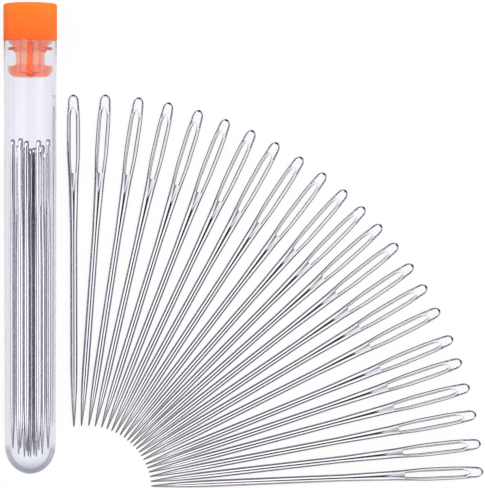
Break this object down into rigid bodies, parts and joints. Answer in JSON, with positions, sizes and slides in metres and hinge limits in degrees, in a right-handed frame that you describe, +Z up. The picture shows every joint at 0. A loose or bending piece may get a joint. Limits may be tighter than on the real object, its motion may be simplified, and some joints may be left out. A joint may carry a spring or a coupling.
{
  "type": "large-eye sewing needle set",
  "caption": "Clear round-bottomed tube with a ribbed push-in stopper holding large-eye sewing needles, with more of the needles laid beside it in a fan.",
  "frame": {"origin": "centre of the set's plan, on the surface that it lies on", "axes": "+Z up from that surface, +Y along the tube towards its stopper, +X from the tube towards the fan"},
  "size_m": [0.0862, 0.0868, 0.0096],
  "materials": {
    "clear_plastic": "clear moulded plastic, polished",
    "orange_plastic": "soft translucent orange moulding",
    "needle_steel": "polished nickel-plated steel"
  },
  "bodies": {
    "tube": {"tube": "clear_plastic"},
    "cap": {"cap": "orange_plastic"},
    "tube_needle_01": {"tube_needle_01": "needle_steel"},
    "tube_needle_02": {"tube_needle_02": "needle_steel"},
    "tube_needle_03": {"tube_needle_03": "needle_steel"},
    "tube_needle_04": {"tube_needle_04": "needle_steel"},
    "tube_needle_05": {"tube_needle_05": "needle_steel"},
    "tube_needle_06": {"tube_needle_06": "needle_steel"},
    "tube_needle_07": {"tube_needle_07": "needle_steel"},
    "tube_needle_08": {"tube_needle_08": "needle_steel"},
    "tube_needle_09": {"tube_needle_09": "needle_steel"},
    "tube_needle_10": {"tube_needle_10": "needle_steel"},
    "tube_needle_11": {"tube_needle_11": "needle_steel"},
    "tube_needle_12": {"tube_needle_12": "needle_steel"},
    "fan_needle_01": {"fan_needle_01_shank": "needle_steel", "fan_needle_01_head": "needle_steel"},
    "fan_needle_02": {"fan_needle_02_shank": "needle_steel", "fan_needle_02_head": "needle_steel"},
    "fan_needle_03": {"fan_needle_03_shank": "needle_steel", "fan_needle_03_head": "needle_steel"},
    "fan_needle_04": {"fan_needle_04_shank": "needle_steel", "fan_needle_04_head": "needle_steel"},
    "fan_needle_05": {"fan_needle_05_shank": "needle_steel", "fan_needle_05_head": "needle_steel"},
    "fan_needle_06": {"fan_needle_06_shank": "needle_steel", "fan_needle_06_head": "needle_steel"},
    "fan_needle_07": {"fan_needle_07_shank": "needle_steel", "fan_needle_07_head": "needle_steel"},
    "fan_needle_08": {"fan_needle_08_shank": "needle_steel", "fan_needle_08_head": "needle_steel"},
    "fan_needle_09": {"fan_needle_09_shank": "needle_steel", "fan_needle_09_head": "needle_steel"},
    "fan_needle_10": {"fan_needle_10_shank": "needle_steel", "fan_needle_10_head": "needle_steel"},
    "fan_needle_11": {"fan_needle_11_shank": "needle_steel", "fan_needle_11_head": "needle_steel"},
    "fan_needle_12": {"fan_needle_12_shank": "needle_steel", "fan_needle_12_head": "needle_steel"},
    "fan_needle_13": {"fan_needle_13_shank": "needle_steel", "fan_needle_13_head": "needle_steel"},
    "fan_needle_14": {"fan_needle_14_shank": "needle_steel", "fan_needle_14_head": "needle_steel"},
    "fan_needle_15": {"fan_needle_15_shank": "needle_steel", "fan_needle_15_head": "needle_steel"},
    "fan_needle_16": {"fan_needle_16_shank": "needle_steel", "fan_needle_16_head": "needle_steel"},
    "fan_needle_17": {"fan_needle_17_shank": "needle_steel", "fan_needle_17_head": "needle_steel"},
    "fan_needle_18": {"fan_needle_18_shank": "needle_steel", "fan_needle_18_head": "needle_steel"},
    "fan_needle_19": {"fan_needle_19_shank": "needle_steel", "fan_needle_19_head": "needle_steel"},
    "fan_needle_20": {"fan_needle_20_shank": "needle_steel", "fan_needle_20_head": "needle_steel"},
    "fan_needle_21": {"fan_needle_21_shank": "needle_steel", "fan_needle_21_head": "needle_steel"},
    "fan_needle_22": {"fan_needle_22_shank": "needle_steel", "fan_needle_22_head": "needle_steel"},
    "fan_needle_23": {"fan_needle_23_shank": "needle_steel", "fan_needle_23_head": "needle_steel"}
  },
  "joints": [
    {"name": "cap_slide", "type": "slide", "parent": "tube", "child": "cap", "axis": [0, 1, 0], "range_m": [0, 0.02]},
    {"name": "tube_needle_01_slide", "type": "slide", "parent": "tube", "child": "tube_needle_01", "axis": [0, 1, 0], "range_m": [-0.0004, 0.0117]},
    {"name": "tube_needle_02_slide", "type": "slide", "parent": "tube", "child": "tube_needle_02", "axis": [0, 1, 0], "range_m": [-0.0004, 0.0117]},
    {"name": "tube_needle_03_slide", "type": "slide", "parent": "tube", "child": "tube_needle_03", "axis": [0, 1, 0], "range_m": [-0.0008, 0.0103]},
    {"name": "tube_needle_04_slide", "type": "slide", "parent": "tube", "child": "tube_needle_04", "axis": [0, 1, 0], "range_m": [-0.0008, 0.0103]},
    {"name": "tube_needle_05_slide", "type": "slide", "parent": "tube", "child": "tube_needle_05", "axis": [0, 1, 0], "range_m": [-0.0008, 0.0103]},
    {"name": "tube_needle_06_slide", "type": "slide", "parent": "tube", "child": "tube_needle_06", "axis": [0, 1, 0], "range_m": [-0.0008, 0.0103]},
    {"name": "tube_needle_07_slide", "type": "slide", "parent": "tube", "child": "tube_needle_07", "axis": [0, 1, 0], "range_m": [-0.0008, 0.0103]},
    {"name": "tube_needle_08_slide", "type": "slide", "parent": "tube", "child": "tube_needle_08", "axis": [0, 1, 0], "range_m": [-0.0008, 0.0103]},
    {"name": "tube_needle_09_slide", "type": "slide", "parent": "tube", "child": "tube_needle_09", "axis": [0, 1, 0], "range_m": [-0.0008, 0.0103]},
    {"name": "tube_needle_10_slide", "type": "slide", "parent": "tube", "child": "tube_needle_10", "axis": [0, 1, 0], "range_m": [-0.002, 0.0103]},
    {"name": "tube_needle_11_slide", "type": "slide", "parent": "tube", "child": "tube_needle_11", "axis": [0, 1, 0], "range_m": [-0.002, 0.0103]},
    {"name": "tube_needle_12_slide", "type": "slide", "parent": "tube", "child": "tube_needle_12", "axis": [0, 1, 0], "range_m": [-0.002, 0.0103]},
    {"name": "fan_needle_01_lift", "type": "slide", "parent": "tube", "child": "fan_needle_01", "axis": [0, 0, 1], "range_m": [0, 0.03]},
    {"name": "fan_needle_02_lift", "type": "slide", "parent": "tube", "child": "fan_needle_02", "axis": [0, 0, 1], "range_m": [0, 0.03]},
    {"name": "fan_needle_03_lift", "type": "slide", "parent": "tube", "child": "fan_needle_03", "axis": [0, 0, 1], "range_m": [0, 0.03]},
    {"name": "fan_needle_04_lift", "type": "slide", "parent": "tube", "child": "fan_needle_04", "axis": [0, 0, 1], "range_m": [0, 0.03]},
    {"name": "fan_needle_05_lift", "type": "slide", "parent": "tube", "child": "fan_needle_05", "axis": [0, 0, 1], "range_m": [0, 0.03]},
    {"name": "fan_needle_06_lift", "type": "slide", "parent": "tube", "child": "fan_needle_06", "axis": [0, 0, 1], "range_m": [0, 0.03]},
    {"name": "fan_needle_07_lift", "type": "slide", "parent": "tube", "child": "fan_needle_07", "axis": [0, 0, 1], "range_m": [0, 0.03]},
    {"name": "fan_needle_08_lift", "type": "slide", "parent": "tube", "child": "fan_needle_08", "axis": [0, 0, 1], "range_m": [0, 0.03]},
    {"name": "fan_needle_09_lift", "type": "slide", "parent": "tube", "child": "fan_needle_09", "axis": [0, 0, 1], "range_m": [0, 0.03]},
    {"name": "fan_needle_10_lift", "type": "slide", "parent": "tube", "child": "fan_needle_10", "axis": [0, 0, 1], "range_m": [0, 0.03]},
    {"name": "fan_needle_11_lift", "type": "slide", "parent": "tube", "child": "fan_needle_11", "axis": [0, 0, 1], "range_m": [0, 0.03]},
    {"name": "fan_needle_12_lift", "type": "slide", "parent": "tube", "child": "fan_needle_12", "axis": [0, 0, 1], "range_m": [0, 0.03]},
    {"name": "fan_needle_13_lift", "type": "slide", "parent": "tube", "child": "fan_needle_13", "axis": [0, 0, 1], "range_m": [0, 0.03]},
    {"name": "fan_needle_14_lift", "type": "slide", "parent": "tube", "child": "fan_needle_14", "axis": [0, 0, 1], "range_m": [0, 0.03]},
    {"name": "fan_needle_15_lift", "type": "slide", "parent": "tube", "child": "fan_needle_15", "axis": [0, 0, 1], "range_m": [0, 0.03]},
    {"name": "fan_needle_16_lift", "type": "slide", "parent": "tube", "child": "fan_needle_16", "axis": [0, 0, 1], "range_m": [0, 0.03]},
    {"name": "fan_needle_17_lift", "type": "slide", "parent": "tube", "child": "fan_needle_17", "axis": [0, 0, 1], "range_m": [0, 0.03]},
    {"name": "fan_needle_18_lift", "type": "slide", "parent": "tube", "child": "fan_needle_18", "axis": [0, 0, 1], "range_m": [0, 0.03]},
    {"name": "fan_needle_19_lift", "type": "slide", "parent": "tube", "child": "fan_needle_19", "axis": [0, 0, 1], "range_m": [0, 0.03]},
    {"name": "fan_needle_20_lift", "type": "slide", "parent": "tube", "child": "fan_needle_20", "axis": [0, 0, 1], "range_m": [0, 0.03]},
    {"name": "fan_needle_21_lift", "type": "slide", "parent": "tube", "child": "fan_needle_21", "axis": [0, 0, 1], "range_m": [0, 0.03]},
    {"name": "fan_needle_22_lift", "type": "slide", "parent": "tube", "child": "fan_needle_22", "axis": [0, 0, 1], "range_m": [0, 0.03]},
    {"name": "fan_needle_23_lift", "type": "slide", "parent": "tube", "child": "fan_needle_23", "axis": [0, 0, 1], "range_m": [0, 0.03]}
  ]
}
